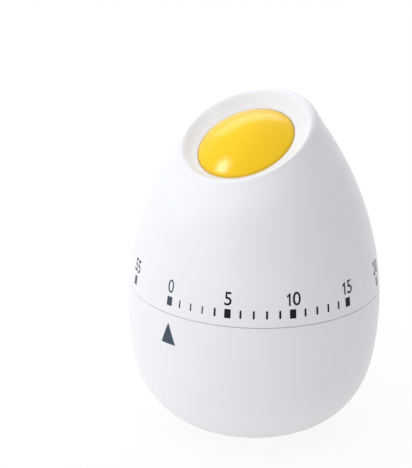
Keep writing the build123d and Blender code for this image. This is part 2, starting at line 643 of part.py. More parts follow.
def mainspring():
    face = hooked_spiral(CENTRE, SPRING_POST_ANGLE, MAINSPRING, SPRING_POST, RUNNING_GAP)
    return slab(face, PLATE_TOP + END_SHAKE, PLATE_TOP + END_SHAKE + SPRING_HEIGHT)


def hair_stud_at():
    return step(BALANCE_AT, spiral_reach(*HAIRSPRING) + STUD_RADIUS + TIGHT, balance_angle)


def hair_stud():
    return disc(STUD_RADIUS, HAIR_Z - 0.2, UPPER_PLATE_TOP, hair_stud_at())


def hairspring():
    face = hooked_spiral(BALANCE_AT, balance_angle, HAIRSPRING, STUD_RADIUS, TIGHT)
    return slab(face, HAIR_Z, HAIR_Z + HAIR_HEIGHT)


# ---- escapement ----
def pallet_pins_at():
    reach = ESCAPE_RADIUS + PALLET_PIN + PALLET_GAP
    line = angle_to(ESCAPE_AT, PALLET_AT)
    return [step(ESCAPE_AT, reach, line + side * PALLET_SPAN) for side in (-1, 1)]


def pallet_lever():
    """Two arms for the pins and a fork that holds the balance's impulse pin."""
    shape = Pos(*PALLET_AT) * Circle(1.3)
    for place in pallet_pins_at():
        shape += bar(PALLET_AT, place, 1.0)
    along = angle_to(PALLET_AT, BALANCE_AT)
    slot_middle = BALANCE_DISTANCE - IMPULSE_CIRCLE
    slot_width = 2 * (IMPULSE_PIN + IMPULSE_GAP)
    tail = Pos(slot_middle / 2, 0) * Rectangle(slot_middle, 1.0)
    tail += Pos(slot_middle, 0) * Rectangle(1.9, slot_width + 1.0)
    tail -= Pos(slot_middle + 0.5, 0) * Rectangle(2.0, slot_width)
    shape += Pos(*PALLET_AT) * Rot(0, 0, along) * tail
    shape -= Pos(*PALLET_AT) * Circle(ARBOR_RADIUS + TIGHT)
    for place in pallet_pins_at():
        shape -= Pos(*place) * Circle(PALLET_PIN + TIGHT)
    return slab(shape, PALLET_Z, PALLET_Z + PALLET_THICKNESS)


def pallet_pins():
    low, high = ESCAPE_Z - 0.2, PALLET_Z + PALLET_THICKNESS
    return [disc(PALLET_PIN, low, high, place) for place in pallet_pins_at()]


def balance_wheel():
    rim = Circle(BALANCE_RADIUS) - Circle(BALANCE_RADIUS - BALANCE_RIM)
    spoke = Rectangle(2 * BALANCE_RADIUS - BALANCE_RIM, BALANCE_RIM)
    shape = rim + spoke + Circle(COLLET_RADIUS) - Circle(ARBOR_RADIUS + TIGHT)
    turned = Pos(*BALANCE_AT) * Rot(0, 0, balance_angle) * shape
    return slab(turned, BALANCE_Z, BALANCE_Z + BALANCE_THICKNESS)


def balance_staff():
    return arbor(BALANCE_AT) + disc(COLLET_RADIUS, HAIR_Z - 0.2, HAIR_Z + HAIR_HEIGHT + 0.2, BALANCE_AT)


def roller():
    """A small disc on the staff that carries the impulse pin down into the fork."""
    table = disc(ROLLER_RADIUS, ROLLER_Z, ROLLER_Z + ROLLER_THICKNESS, BALANCE_AT, ARBOR_RADIUS + TIGHT)
    pin_at = step(BALANCE_AT, IMPULSE_CIRCLE, angle_to(BALANCE_AT, PALLET_AT))
    return table + disc(IMPULSE_PIN, PALLET_Z - 0.1, ROLLER_Z, pin_at)


# ---- bell and hammer ----
def bell():
    """A round pressed gong, mouth up, on the boss in the middle of the bowl."""
    top = BELL_Z + BELL_HEIGHT
    outer = disc(BELL_RADIUS, BELL_Z, top)
    outer = fillet(outer.edges().sort_by(Axis.Z)[0], BELL_ROUND)
    inner = disc(BELL_RADIUS - BELL_WALL, BELL_Z + BELL_WALL, top)
    inner = fillet(inner.edges().sort_by(Axis.Z)[0], BELL_ROUND - BELL_WALL)
    return outer - inner - disc(SCREW_RADIUS + FIT, BELL_Z, top)


def nose_at():
    """The nose stands at the cam's rim, where a swing of the hammer moves it straight to the centre."""
    reach = CAM_RADIUS + NOSE_RADIUS + STRIKE_GAP
    return polar(reach, HAMMER_ANGLE + math.degrees(math.acos(reach / HAMMER_CIRCLE)))


def head_at():
    """The head stands inside the bell, short of its wall by the swing."""
    angle = HAMMER_ANGLE - HAMMER_REACH
    wall = BELL_RADIUS - BELL_WALL - HEAD_RADIUS - STRIKE_GAP
    reach = wall
    for _ in range(20):
        start = polar(reach, angle)
        arm, heading = math.dist(start, HAMMER_AT), angle_to(HAMMER_AT, start)
        struck = step(HAMMER_AT, arm, heading + HAMMER_SWING)
        reach -= math.hypot(*struck) - wall
    return polar(reach, angle)


def hammer():
    """The lower arm with the round head that strikes the bell."""
    high = LOWER_PLATE_Z - 0.7
    arm = slab(bar(HAMMER_AT, head_at(), ARM_WIDTH), high - ARM_THICKNESS, high)
    arm += disc(HEAD_RADIUS, high - HEAD_HEIGHT, high, head_at())
    return arm - disc(ARBOR_RADIUS + TIGHT, high - ARM_THICKNESS, high, HAMMER_AT)


def cam_lever():
    """The upper arm whose nose rides on the release cam."""
    elbow = step(nose_at(), CAM_DEPTH, angle_to(CENTRE, nose_at()))
    shape = bar(HAMMER_AT, elbow, 2 * NOSE_RADIUS) + bar(elbow, nose_at(), 2 * NOSE_RADIUS)
    shape += Pos(*HAMMER_AT) * Circle(COLLET_RADIUS)
    return slab(shape - Pos(*HAMMER_AT) * Circle(ARBOR_RADIUS + TIGHT), CAM_Z, CAM_Z + CAM_THICKNESS)


def hammer_arbor():
    """The hammer's arbor, with a short tail that the hammer spring holds."""
    low = LOWER_PLATE_Z - 0.7 - ARM_THICKNESS
    shaft = disc(ARBOR_RADIUS, low, UPPER_PLATE_Z - END_SHAKE, HAMMER_AT)
    shaft += disc(PIVOT_RADIUS, low, UPPER_PLATE_TOP, HAMMER_AT)
    tail = bar(HAMMER_AT, step(HAMMER_AT, TAIL_LENGTH, HAMMER_ANGLE), TAIL_WIDTH)
    tail += Pos(*HAMMER_AT) * Circle(COLLET_RADIUS)
    return shaft + slab(tail, PLATE_TOP + 1, PLATE_TOP + 3)


def hammer_spring():
    """A leaf from a pillar to the hammer's tail."""
    tail_end = step(HAMMER_AT, TAIL_LENGTH - TAIL_WIDTH / 2, HAMMER_ANGLE)
    tip = step(tail_end, (TAIL_WIDTH + LEAF_STRIP) / 2 + RUNNING_GAP, HAMMER_ANGLE + 90)
    pillar = PILLARS_AT[2]
    shape = bar(pillar, tip, LEAF_STRIP) + Pos(*pillar) * Circle(PILLAR_RADIUS + 0.5)
    shape -= Pos(*pillar) * Circle(PILLAR_RADIUS + TIGHT)
    return slab(shape, PLATE_TOP + 1, PLATE_TOP + 3)


# ---- all nodes ----
CARRIER_SCREW = (SCREW_RADIUS, CARRIER_SCREW_LENGTH, SCREW_HEAD, SCREW_HEAD_HEIGHT)
MOVEMENT_SCREW = (SCREW_RADIUS, MOVEMENT_SCREW_LENGTH, SCREW_HEAD, SCREW_HEAD_HEIGHT)
SMALL_SCREW = (PILLAR_SCREW_RADIUS, PILLAR_SCREW_LENGTH, PILLAR_SCREW_HEAD, PILLAR_SCREW_HEIGHT)
BELL_SCREW = (SCREW_RADIUS, BELL_Z + BELL_WALL - 1.5 * WALL, SCREW_HEAD, SCREW_HEAD_HEIGHT)
carrier_places = [polar(CARRIER_CIRCLE, angle) for angle in CARRIER_ANGLES]

nodes = {
    "lower_shell": lower_shell(),
    "upper_shell": upper_shell(),
    "yolk_dome": yolk_dome(),
    "drive_carrier": drive_carrier(),
    "carrier_screws": screws(carrier_places, CARRIER_Z, CARRIER_SCREW, flip=True),
    "bell": bell(),
    "bell_screw": screws([CENTRE], BELL_Z + BELL_WALL, BELL_SCREW),
    "bottom_plate": bottom_plate(),
    "top_plate": top_plate(),
    "pillars": pillars(),
    "pillar_screws": screws(PILLARS_AT, UPPER_PLATE_TOP, SMALL_SCREW),
    "movement_screws": screws(POSTS_AT, PLATE_TOP, MOVEMENT_SCREW),
    "main_arbor": main_arbor(),
    "arbor_clip": arbor_clip(),
    "friction_washer": friction_washer(),
    "great_wheel": great_wheel(),
    "ratchet_wheel": ratchet_wheel(),
    "click": click(),
    "click_stud": click_stud(),
    "click_spring": click_spring(),
    "release_cam": release_cam(),
    "stop_finger": stop_finger(),
    "stop_pin": stop_pin(),
    "mainspring": mainspring(),
    "spring_post": spring_post(),
    "second_pinion": pinion_arbor(
        SECOND_AT, SECOND_LEAVES, GREAT_MODULE, CENTRE, GREAT_Z, GREAT_THICKNESS, SECOND_Z
    ),
    "second_wheel": train_wheel(SECOND_AT, SECOND_TEETH, SECOND_MODULE, SECOND_Z, THIRD_AT),
    "third_pinion": pinion_arbor(
        THIRD_AT, THIRD_LEAVES, SECOND_MODULE, SECOND_AT, SECOND_Z, WHEEL_THICKNESS, THIRD_Z
    ),
    "third_wheel": train_wheel(THIRD_AT, THIRD_TEETH, THIRD_MODULE, THIRD_Z, ESCAPE_AT),
    "escape_pinion": pinion_arbor(
        ESCAPE_AT, ESCAPE_LEAVES, THIRD_MODULE, THIRD_AT, THIRD_Z, WHEEL_THICKNESS, ESCAPE_Z
    ),
    "escape_wheel": escape_wheel(),
    "pallet_lever": pallet_lever(),
    "pallet_pins": pallet_pins(),
    "pallet_arbor": arbor(PALLET_AT),
    "balance_wheel": balance_wheel(),
    "balance_staff": balance_staff(),
    "roller": roller(),
    "hairspring": hairspring(),
    "hair_stud": hair_stud(),
    "hammer": hammer(),
    "cam_lever": cam_lever(),
    "hammer_arbor": hammer_arbor(),
    "hammer_spring": hammer_spring(),
}

os.makedirs("parts", exist_ok=True)
for name, shape in nodes.items():
    solids = shape if isinstance(shape, list) else shape.solids()
    export_step(Compound(children=[solid for solid in solids]), f"parts/{name}.step")
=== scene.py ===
import bmesh
import bpy
import math
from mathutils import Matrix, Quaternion, Vector


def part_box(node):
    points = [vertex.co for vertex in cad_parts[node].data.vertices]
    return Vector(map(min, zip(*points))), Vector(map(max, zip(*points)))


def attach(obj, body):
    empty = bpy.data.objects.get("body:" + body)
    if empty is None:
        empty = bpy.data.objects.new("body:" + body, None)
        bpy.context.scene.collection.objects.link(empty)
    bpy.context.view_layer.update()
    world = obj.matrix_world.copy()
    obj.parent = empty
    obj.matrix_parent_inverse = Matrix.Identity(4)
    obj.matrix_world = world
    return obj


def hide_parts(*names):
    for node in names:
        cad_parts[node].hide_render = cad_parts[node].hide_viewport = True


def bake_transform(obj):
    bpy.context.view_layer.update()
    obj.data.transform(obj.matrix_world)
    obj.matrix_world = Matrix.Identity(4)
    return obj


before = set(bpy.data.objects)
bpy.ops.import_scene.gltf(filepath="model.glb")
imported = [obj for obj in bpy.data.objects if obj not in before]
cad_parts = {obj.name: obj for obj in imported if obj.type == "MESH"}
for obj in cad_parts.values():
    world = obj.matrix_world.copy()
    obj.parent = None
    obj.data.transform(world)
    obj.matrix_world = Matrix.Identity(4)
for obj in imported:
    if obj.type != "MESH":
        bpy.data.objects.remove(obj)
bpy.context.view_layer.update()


# ---- camera ----
# The timer stands on a table and is seen from the right of its pointer and a little above. The
# long lens keeps its proportions, and the camera leans a little to the left.
MM = 0.001
dial_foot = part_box("upper_shell")[0].z
camera_turn, camera_rise, camera_lean = math.radians(42.38), math.radians(21.86), math.radians(1.15)
towards_camera = Vector((
    math.sin(camera_turn) * math.cos(camera_rise),
    -math.cos(camera_turn) * math.cos(camera_rise),
    math.sin(camera_rise),
))
seam_middle = Vector((0, 0, dial_foot - 0.1 * MM))
camera_data = bpy.data.cameras.new("camera")
camera_data.lens = 322
camera_data.sensor_width = 36
camera_data.clip_start = 0.05
camera = bpy.data.objects.new("camera", camera_data)
bpy.context.scene.collection.objects.link(camera)
bpy.context.scene.camera = camera
camera.location = seam_middle + towards_camera
level = towards_camera.to_track_quat("Z", "Y") @ Quaternion((0, 0, 1), camera_lean)
framed = seam_middle + level @ Vector((-11.68, 11.2, 0)) * MM
camera.rotation_mode = "QUATERNION"
camera.rotation_quaternion = (
    (camera.location - framed).to_track_quat("Z", "Y") @ Quaternion((0, 0, 1), camera_lean)
)


# ---- lower shell ----
# The bottom half of the egg, injection moulded in white ABS with 2 mm walls: a flat foot, a belly
# that swells to the widest place, a stepped rim whose collar guides the dial, and posts inside that
# the movement is screwed to. The gloss comes from the polished mould.
EGG_RADIUS, WIDEST = 30 * MM, 30.5 * MM
BELLY_ARC, FOOT_ARC, SIDE_ARC = 74 * MM, 20.2 * MM, 74.3 * MM
BELLY_ANGLE = math.radians(11.3)
WALL = 2 * MM
RIM = dial_foot - 0.05 * MM


def egg_radius(height, inset=0.0):
    """How far the egg's skin, or its inner wall, stands from the axis at a height."""
    if height > WIDEST:
        return EGG_RADIUS - SIDE_ARC + math.sqrt((SIDE_ARC - inset) ** 2 - (height - WIDEST) ** 2)
    knuckle = BELLY_ARC - FOOT_ARC
    foot_out = EGG_RADIUS - BELLY_ARC + knuckle * math.cos(BELLY_ANGLE)
    foot_up = WIDEST - knuckle * math.sin(BELLY_ANGLE)
    if height > WIDEST - (BELLY_ARC - inset) * math.sin(BELLY_ANGLE):
        return EGG_RADIUS - BELLY_ARC + math.sqrt((BELLY_ARC - inset) ** 2 - (height - WIDEST) ** 2)
    return foot_out + math.sqrt((FOOT_ARC - inset) ** 2 - (height - foot_up) ** 2)


def let_go():
    """Deselects every object, so that the next operator works on its own piece only."""
    if bpy.context.object and bpy.context.object.mode != "OBJECT":
        bpy.ops.object.mode_set(mode="OBJECT")
    bpy.ops.object.select_all(action="DESELECT")


def edit_all():
    """Opens the active piece for editing, with all of it selected."""
    bpy.ops.object.mode_set(mode="EDIT")
    bpy.ops.mesh.select_all(action="SELECT")


def mould(name, rings, open_middle=False, segments=64, levels=2):
    """Draws a moulding out of a circle, ring after ring, and smooths it by subdivision.

    A ring is its half width, half length, place along the front-back line, height and tilt.
    """
    let_go()
    width, length, along, up, tilt = rings[0]
    bpy.ops.mesh.primitive_circle_add(
        vertices=segments, radius=1, location=(0, 0, 0), fill_type="NOTHING" if open_middle else "NGON")
    piece = bpy.context.object
    piece.name = piece.data.name = name
    edit_all()
    at = Vector((0, along, up))
    bpy.ops.transform.resize(value=(width, length, 1), center_override=(0, 0, 0))
    bpy.ops.transform.rotate(value=-tilt, orient_axis="X", center_override=(0, 0, 0))
    bpy.ops.transform.translate(value=at)
    for next_width, next_length, next_along, next_up, next_tilt in rings[1:]:
        bpy.ops.mesh.extrude_region_move()
        bpy.ops.transform.rotate(value=tilt, orient_axis="X", center_override=at)
        scale = (next_width / width, next_length / length, 1)
        bpy.ops.transform.resize(value=scale, center_override=at)
        bpy.ops.transform.rotate(value=-next_tilt, orient_axis="X", center_override=at)
        next_at = Vector((0, next_along, next_up))
        bpy.ops.transform.translate(value=next_at - at)
        width, length, at, tilt = next_width, next_length, next_at, next_tilt
    bpy.ops.mesh.select_all(action="SELECT")
    if open_middle:
        bpy.ops.mesh.remove_doubles(threshold=0.001 * MM)
    bpy.ops.mesh.normals_make_consistent(inside=False)
    bpy.ops.object.mode_set(mode="OBJECT")
    smooth = piece.modifiers.new("smooth", "SUBSURF")
    smooth.levels = smooth.render_levels = levels
    bpy.ops.object.modifier_apply(modifier=smooth.name)
    bpy.ops.object.shade_smooth()
    return piece


def level_ring(radius, height):
    """A round ring about the timer's axis."""
    return (radius, radius, 0, height, 0)


collar = egg_radius(RIM, WALL) - 0.4 * MM
collar_bore = collar - 1.3 * MM
lower_rings = [level_ring(11.2 * MM, 0), level_ring(11.75 * MM, 0)]
for height in (0.15, 0.8, 2.0, 4.0, 7.0, 11.0, 16.0, 21.5, 27.0, 31.0, 33.2):
    lower_rings.append(level_ring(egg_radius(height * MM), height * MM))
# The stepped rim, the collar and the collar's bore.
lower_rings += [
    level_ring(egg_radius(RIM), RIM - 0.35 * MM),
    level_ring(egg_radius(RIM) - 0.02 * MM, RIM - 0.04 * MM),
    level_ring(egg_radius(RIM) - 0.4 * MM, RIM),
    level_ring(collar + 0.15 * MM, RIM),
    level_ring(collar, RIM + 0.05 * MM),
    level_ring(collar, RIM + 2.8 * MM),
    level_ring(collar - 0.3 * MM, RIM + 3.2 * MM),
    level_ring(collar_bore + 0.2 * MM, RIM + 3.2 * MM),
    level_ring(collar_bore, RIM + 3.0 * MM),
    level_ring(collar_bore, RIM - 1.6 * MM),
    level_ring(egg_radius(31.6 * MM, WALL) - 0.3 * MM, 31.6 * MM),
    level_ring(egg_radius(30.6 * MM, WALL), 30.6 * MM),
]
for height in (26.0, 20.0, 14.0, 9.0, 5.6, 3.4, 2.4):
    lower_rings.append(level_ring(egg_radius(height * MM, WALL), height * MM))
# The floor, and the bell's post in its middle with a blind screw hole.
lower_rings += [
    level_ring(12.2 * MM, 2.0 * MM),
    level_ring(8.0 * MM, 2.0 * MM),
    level_ring(3.9 * MM, 2.0 * MM),
    level_ring(3.5 * MM, 2.3 * MM),
    level_ring(3.5 * MM, 5.3 * MM),
    level_ring(3.4 * MM, 5.5 * MM),
    level_ring(1.15 * MM, 5.5 * MM),
    level_ring(1.0 * MM, 5.4 * MM),
    level_ring(1.0 * MM, 1.1 * MM),
    level_ring(0.9 * MM, 1.0 * MM),
]
lower = mould("lower_shell_moulding", lower_rings)


def screw_post(radius, foot, head, place, slope_point, slope):
    """A round post cut on the slant at the end that grows out of the curved wall."""
    let_go()
    bpy.ops.mesh.primitive_cylinder_add(
        vertices=32, radius=radius, depth=head - foot, location=(place, 0, (head + foot) / 2))
    post = bpy.context.object
    bpy.ops.object.transform_apply(location=True, rotation=True, scale=True)
    edit_all()
    bpy.ops.mesh.bisect(
        plane_co=slope_point, plane_no=slope, use_fill=True, clear_inner=True, clear_outer=False)
    bpy.ops.object.mode_set(mode="OBJECT")
    return post


def turned_about_axis(piece, degrees):
    """Turns a piece about the timer's axis, in its mesh."""
    bpy.context.view_layer.objects.active = piece
    edit_all()
    bpy.ops.transform.rotate(value=-math.radians(degrees), orient_axis="Z", center_override=(0, 0, 0))
    bpy.ops.object.mode_set(mode="OBJECT")
    return piece


def copied(piece, name):
    """A copy with a mesh of its own, alone in the selection."""
    let_go()
    twin = piece.copy()
    twin.data = piece.data.copy()
    twin.name = twin.data.name = name
    bpy.context.scene.collection.objects.link(twin)
    twin.select_set(True)
    bpy.context.view_layer.objects.active = twin
    return twin


def joined_solid(shell, others, operation):
    """Joins or cuts other solids into a shell and removes them."""
    for other in others:
        let_go()
        bpy.context.view_layer.objects.active = shell
        shell.select_set(True)
        cut = shell.modifiers.new("cut", "BOOLEAN")
        cut.operation = operation
        cut.solver = "EXACT"
        cut.object = other
        bpy.ops.object.modifier_apply(modifier=cut.name)
        bpy.data.objects.remove(other)


POST_RADIUS, SCREW_HOLE = 2.2 * MM, 1.0 * MM
POST_RING, POST_ANGLES = 21.8 * MM, (90, 212, 332)
plate_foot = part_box("bottom_plate")[0].z
post = screw_post(POST_RADIUS, 4 * MM, plate_foot, POST_RING,
                  (POST_RING, 0, 6.3 * MM), (-0.61, 0, 0.79))
hole = screw_post(SCREW_HOLE, plate_foot - 3.6 * MM, plate_foot + 2 * MM, POST_RING,
                  (0, 0, 0), (0, 0, 1))
posts = [turned_about_axis(copied(post, "post"), angle) for angle in POST_ANGLES]
holes = [turned_about_axis(copied(hole, "hole"), angle) for angle in POST_ANGLES]
bpy.data.objects.remove(post)
bpy.data.objects.remove(hole)
joined_solid(lower, posts, "UNION")
joined_solid(lower, holes, "DIFFERENCE")


def node_material(name):
    """A new material, its shader and its node tree."""
    material = bpy.data.materials.new(name)
    material.use_nodes = True
    shader = material.node_tree.nodes["Principled BSDF"]
    return material, shader, material.node_tree


def add_node(tree, kind, **settings):
    """A new node, with its inputs or its own settings given by name."""
    node = tree.nodes.new(kind)
    for key, value in settings.items():
        if key in node.inputs:
            node.inputs[key].default_value = value
        else:
            setattr(node, key, value)
    return node


def object_space(tree):
    """The piece's own coordinates, in metres."""
    return tree.nodes.new("ShaderNodeTexCoord").outputs["Object"]


def fine_bump(tree, shader, grain, depth, strength):
    """A grain of the given size in millimetres, as a bump on the shader."""
    noise = add_node(tree, "ShaderNodeTexNoise", Scale=1000 / grain, Detail=2)
    bump = add_node(tree, "ShaderNodeBump", Strength=strength, Distance=depth * MM)
    tree.links.new(object_space(tree), noise.inputs["Vector"])
    tree.links.new(noise.outputs["Fac"], bump.inputs["Height"])
    tree.links.new(bump.outputs["Normal"], shader.inputs["Normal"])


def mottled(tree, shader, colour, other, patch, smooth, rough):
    """Colour and roughness that wander a little over patches of the given size in millimetres."""
    noise = add_node(tree, "ShaderNodeTexNoise", Scale=1000 / patch, Detail=3)
    tree.links.new(object_space(tree), noise.inputs["Vector"])
    mix = tree.nodes.new("ShaderNodeMix")
    mix.data_type = "RGBA"
    mix.inputs["A"].default_value = (*colour, 1)
    mix.inputs["B"].default_value = (*other, 1)
    tree.links.new(noise.outputs["Fac"], mix.inputs["Factor"])
    tree.links.new(mix.outputs["Result"], shader.inputs["Base Color"])
    roughness = add_node(tree, "ShaderNodeMapRange")
    roughness.inputs["To Min"].default_value = smooth
    roughness.inputs["To Max"].default_value = rough
    tree.links.new(noise.outputs["Fac"], roughness.inputs["Value"])
    tree.links.new(roughness.outputs["Result"], shader.inputs["Roughness"])


def finished(piece, material):
    """Gives a piece one material and no other."""
    piece.data.materials.clear()
    piece.data.materials.append(material)


white_abs, shader, tree = node_material("polished_white_abs")
shader.inputs["IOR"].default_value = 1.5
shader.inputs["Coat Weight"].default_value = 0.25
shader.inputs["Coat Roughness"].default_value = 0.12
mottled(tree, shader, (0.808, 0.818, 0.838), (0.832, 0.841, 0.856), 14, 0.38, 0.46)
fine_bump(tree, shader, 0.6, 0.004, 0.25)
finished(lower, white_abs)
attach(lower, "base")
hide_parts("lower_shell")


# ---- upper shell ----
# The top half of the egg and the dial at once, of the same white ABS: it rises from the seam to a
# slanted, softly rounded crest with a shallow dish for the yolk, and three bosses inside take the
# screws of the drive carrier. It is one moulding, pushed on to the movement and turned by hand.
SLANT = math.radians(27)
STRAIGHT_ABOVE = 72 * MM


def skin_radius(height, inset=0.0):
    """The egg's radius, with a straight taper above the side arc."""
    if height < STRAIGHT_ABOVE:
        return egg_radius(height, inset)
    rise = STRAIGHT_ABOVE - WIDEST
    taper = rise / math.sqrt((SIDE_ARC - inset) ** 2 - rise ** 2)
    return egg_radius(STRAIGHT_ABOVE, inset) - (height - STRAIGHT_ABOVE) * taper


def oval(height, degrees, inset=0.0):
    """The ring that a tilted cut leaves in the egg's skin, by the height where it meets the axis."""
    tilt = math.radians(degrees)
    slope = math.tan(tilt)
    front = back = skin_radius(height, inset)
    for _ in range(60):
        front = (front + skin_radius(height - front * slope, inset)) / 2
        back = (back + skin_radius(height + back * slope, inset)) / 2
    middle = (back - front) / 2
    across = math.sqrt(skin_radius(height + middle * slope, inset) ** 2 - middle ** 2)
    return (across, (front + back) / 2 / math.cos(tilt), middle, height + middle * slope, tilt)


YOLK_RADIUS = 11.9 * MM
SEAT_MIDDLE, SEAT_HEIGHT = -4.23 * MM, 71.21 * MM


def on_slant(half_width, half_length, along, above):
    """A ring parallel to the yolk's seat, in millimetres along the slope from its middle and above."""
    return (half_width * MM, half_length * MM,
            SEAT_MIDDLE + (along * math.cos(SLANT) - above * math.sin(SLANT)) * MM,
            SEAT_HEIGHT + (along * math.sin(SLANT) + above * math.cos(SLANT)) * MM, SLANT)


# From the seam up the skin, over the crest, down the dish, into the pocket and the spigot's hole.
outside = [
    level_ring(skin_radius(dial_foot) - 0.4 * MM, dial_foot),
    level_ring(skin_radius(dial_foot) - 0.02 * MM, dial_foot + 0.04 * MM),
    level_ring(skin_radius(dial_foot + 0.35 * MM), dial_foot + 0.35 * MM),
    level_ring(skin_radius(38 * MM), 38 * MM),
    level_ring(skin_radius(43 * MM), 43 * MM),
    oval(48 * MM, 3),
    oval(53.5 * MM, 9),
    oval(59 * MM, 16),
    oval(64 * MM, 22),
    oval(68 * MM, 26),
    oval(70.5 * MM, 27),
    on_slant(17.15, 18.0, 0.6, 0.6),
    on_slant(16.75, 16.9, 0.7, 1.4),
    on_slant(16.1, 15.5, 0.7, 2.15),
    on_slant(14.6, 14.4, 0.45, 1.15),
    on_slant(13.4, 13.3, 0.15, 0.4),
    on_slant(12.25, 12.25, 0, 0.03),
    on_slant(11.95, 11.95, 0, -0.08),
    on_slant(11.95, 11.95, 0, -0.5),
    on_slant(11.85, 11.85, 0, -0.6),
    on_slant(8, 8, 0, -0.6),
    on_slant(4.3, 4.3, 0, -0.6),
    on_slant(4.1, 4.1, 0, -0.75),
    on_slant(4.1, 4.1, 0, -2.3),
    on_slant(4.3, 4.3, 0, -2.4),
    on_slant(8, 8.2, 0.2, -2.4),
]
# Back under the dish and down the inner wall to the seam.
inside = [
    on_slant(12.5, 12.9, 0.5, -2.4),
    on_slant(14.4, 15.6, 0.6, -3.0),
    oval(66.5 * MM, 26, WALL),
    oval(61 * MM, 20, WALL),
    oval(55 * MM, 12, WALL),
    oval(49 * MM, 5, WALL),
    level_ring(egg_radius(42 * MM, WALL), 42 * MM),
    level_ring(egg_radius(dial_foot + 0.6 * MM, WALL), dial_foot + 0.6 * MM),
    level_ring(egg_radius(dial_foot, WALL) + 0.03 * MM, dial_foot + 0.1 * MM),
    level_ring(egg_radius(dial_foot, WALL) + 0.2 * MM, dial_foot),
]
upper = mould("upper_shell_moulding", outside + inside + outside[:1], open_middle=True)
BOSS_RING, BOSS_ANGLES = 23.4 * MM, (30, 150, 270)
carrier_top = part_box("drive_carrier")[1].z
boss = screw_post(POST_RADIUS, carrier_top - 1 * MM, 60.3 * MM, BOSS_RING,
                  (BOSS_RING, 0, 57.75 * MM), (-0.93, 0, -0.37))
boss_hole = screw_post(SCREW_HOLE, carrier_top - 2 * MM, 47.1 * MM, BOSS_RING, (0, 0, 0), (0, 0, 1))
bosses = [turned_about_axis(copied(boss, "boss"), angle) for angle in BOSS_ANGLES]
boss_holes = [turned_about_axis(copied(boss_hole, "hole"), angle) for angle in BOSS_ANGLES]
bpy.data.objects.remove(boss)
bpy.data.objects.remove(boss_hole)
joined_solid(upper, bosses, "UNION")
joined_solid(upper, boss_holes, "DIFFERENCE")
finished(upper, white_abs)
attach(upper, "dial")
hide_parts("upper_shell")


# ---- yolk ----
# A glossy dome moulded in translucent yellow plastic, hollow underneath, that snaps into the dish
# with a beaded spigot. It sits in a shallow pocket. The fine dark line round its edge is partly the
# narrow gap's own shade and partly shade painted into the yolk's colour.
DOME, YOLK_WALL = 3.8, 1.4
ball = ((YOLK_RADIUS / MM) ** 2 + DOME ** 2) / (2 * DOME)


def dome_height(radius, inset=0.0):
    """How high the dome, or its inner wall, stands over its seat's edge, in millimetres."""
    return DOME - ball + math.sqrt((ball - inset) ** 2 - radius ** 2)


def dome_ring(radius, height):
    """A ring of the dome, in millimetres above its seat's edge."""
    return on_slant(radius, radius, 0, height)


yolk_rings = []
for radius in (0.8, 2.5, 4.5, 6.5, 8.3, 9.8, 10.9, 11.5):
    yolk_rings.append(dome_ring(radius, dome_height(radius)))
yolk_rings += [
    dome_ring(11.74, -0.02),
    dome_ring(11.76, -0.12),
    dome_ring(11.88, -0.15),
    dome_ring(11.9, -0.28),
    dome_ring(11.88, -0.55),
    dome_ring(11.6, -0.58),
    dome_ring(10.6, -0.58),
    dome_ring(10.5, -0.45),
    dome_ring(9.4, dome_height(9.4, YOLK_WALL)),
    dome_ring(7.0, dome_height(7.0, YOLK_WALL)),
    dome_ring(4.4, dome_height(4.4, YOLK_WALL)),
    dome_ring(4.0, dome_height(4.4, YOLK_WALL) - 0.3),
    dome_ring(4.0, -0.3),
    dome_ring(4.0, -2.4),
    dome_ring(4.4, -2.55),
    dome_ring(4.45, -2.8),
    dome_ring(4.3, -3.35),
    dome_ring(4.0, -3.55),
    dome_ring(2.8, -3.6),
    dome_ring(2.6, -3.5),
    dome_ring(2.6, -0.9),
    dome_ring(2.4, -0.75),
]
yolk = mould("yolk_moulding", yolk_rings)
yolk_yellow, shader, tree = node_material("glossy_yolk_plastic")
shader.inputs["Roughness"].default_value = 0.13
shader.inputs["IOR"].default_value = 1.48
shader.inputs["Specular IOR Level"].default_value = 0.4
shader.inputs["Subsurface Weight"].default_value = 0.25
shader.inputs["Subsurface Radius"].default_value = (1.0, 0.6, 0.1)
shader.inputs["Subsurface Scale"].default_value = 2.5 * MM
# The colour is painted darker in a thin ring at the edge, measured from the middle of the seat:
# painted shade that draws the fine dark line where the dome meets its pocket.
to_centre = add_node(tree, "ShaderNodeVectorMath", operation="SUBTRACT")
to_centre.inputs[1].default_value = (0, SEAT_MIDDLE, SEAT_HEIGHT)
across_slant = add_node(tree, "ShaderNodeVectorRotate", rotation_type="X_AXIS", Angle=-SLANT)
split = tree.nodes.new("ShaderNodeSeparateXYZ")
flat_again = tree.nodes.new("ShaderNodeCombineXYZ")
radius = add_node(tree, "ShaderNodeVectorMath", operation="LENGTH")
edge = tree.nodes.new("ShaderNodeValToRGB")
spread = tree.nodes.new("ShaderNodeMapRange")
spread.inputs["From Max"].default_value = YOLK_RADIUS
tree.links.new(object_space(tree), to_centre.inputs[0])
tree.links.new(to_centre.outputs["Vector"], across_slant.inputs["Vector"])
tree.links.new(across_slant.outputs["Vector"], split.inputs["Vector"])
tree.links.new(split.outputs["X"], flat_again.inputs["X"])
tree.links.new(split.outputs["Y"], flat_again.inputs["Y"])
tree.links.new(flat_again.outputs["Vector"], radius.inputs[0])
tree.links.new(radius.outputs["Value"], spread.inputs["Value"])
tree.links.new(spread.outputs["Result"], edge.inputs["Fac"])
edge.color_ramp.elements[0].color = (0.99, 0.625, 0.0, 1)
edge.color_ramp.elements[1].position = 0.955
edge.color_ramp.elements[1].color = (0.985, 0.59, 0.0, 1)
# Painted shade: the darkest stop draws the dark line at the dome's edge.
painted_edge_shade_stop = edge.color_ramp.elements.new(0.98)
painted_edge_shade_stop.color = (0.82, 0.5, 0.01, 1)
tree.links.new(edge.outputs["Color"], shader.inputs["Base Color"])
fine_bump(tree, shader, 5, 0.01, 0.1)
finished(yolk, yolk_yellow)
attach(yolk, "dial")
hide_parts("yolk_dome")


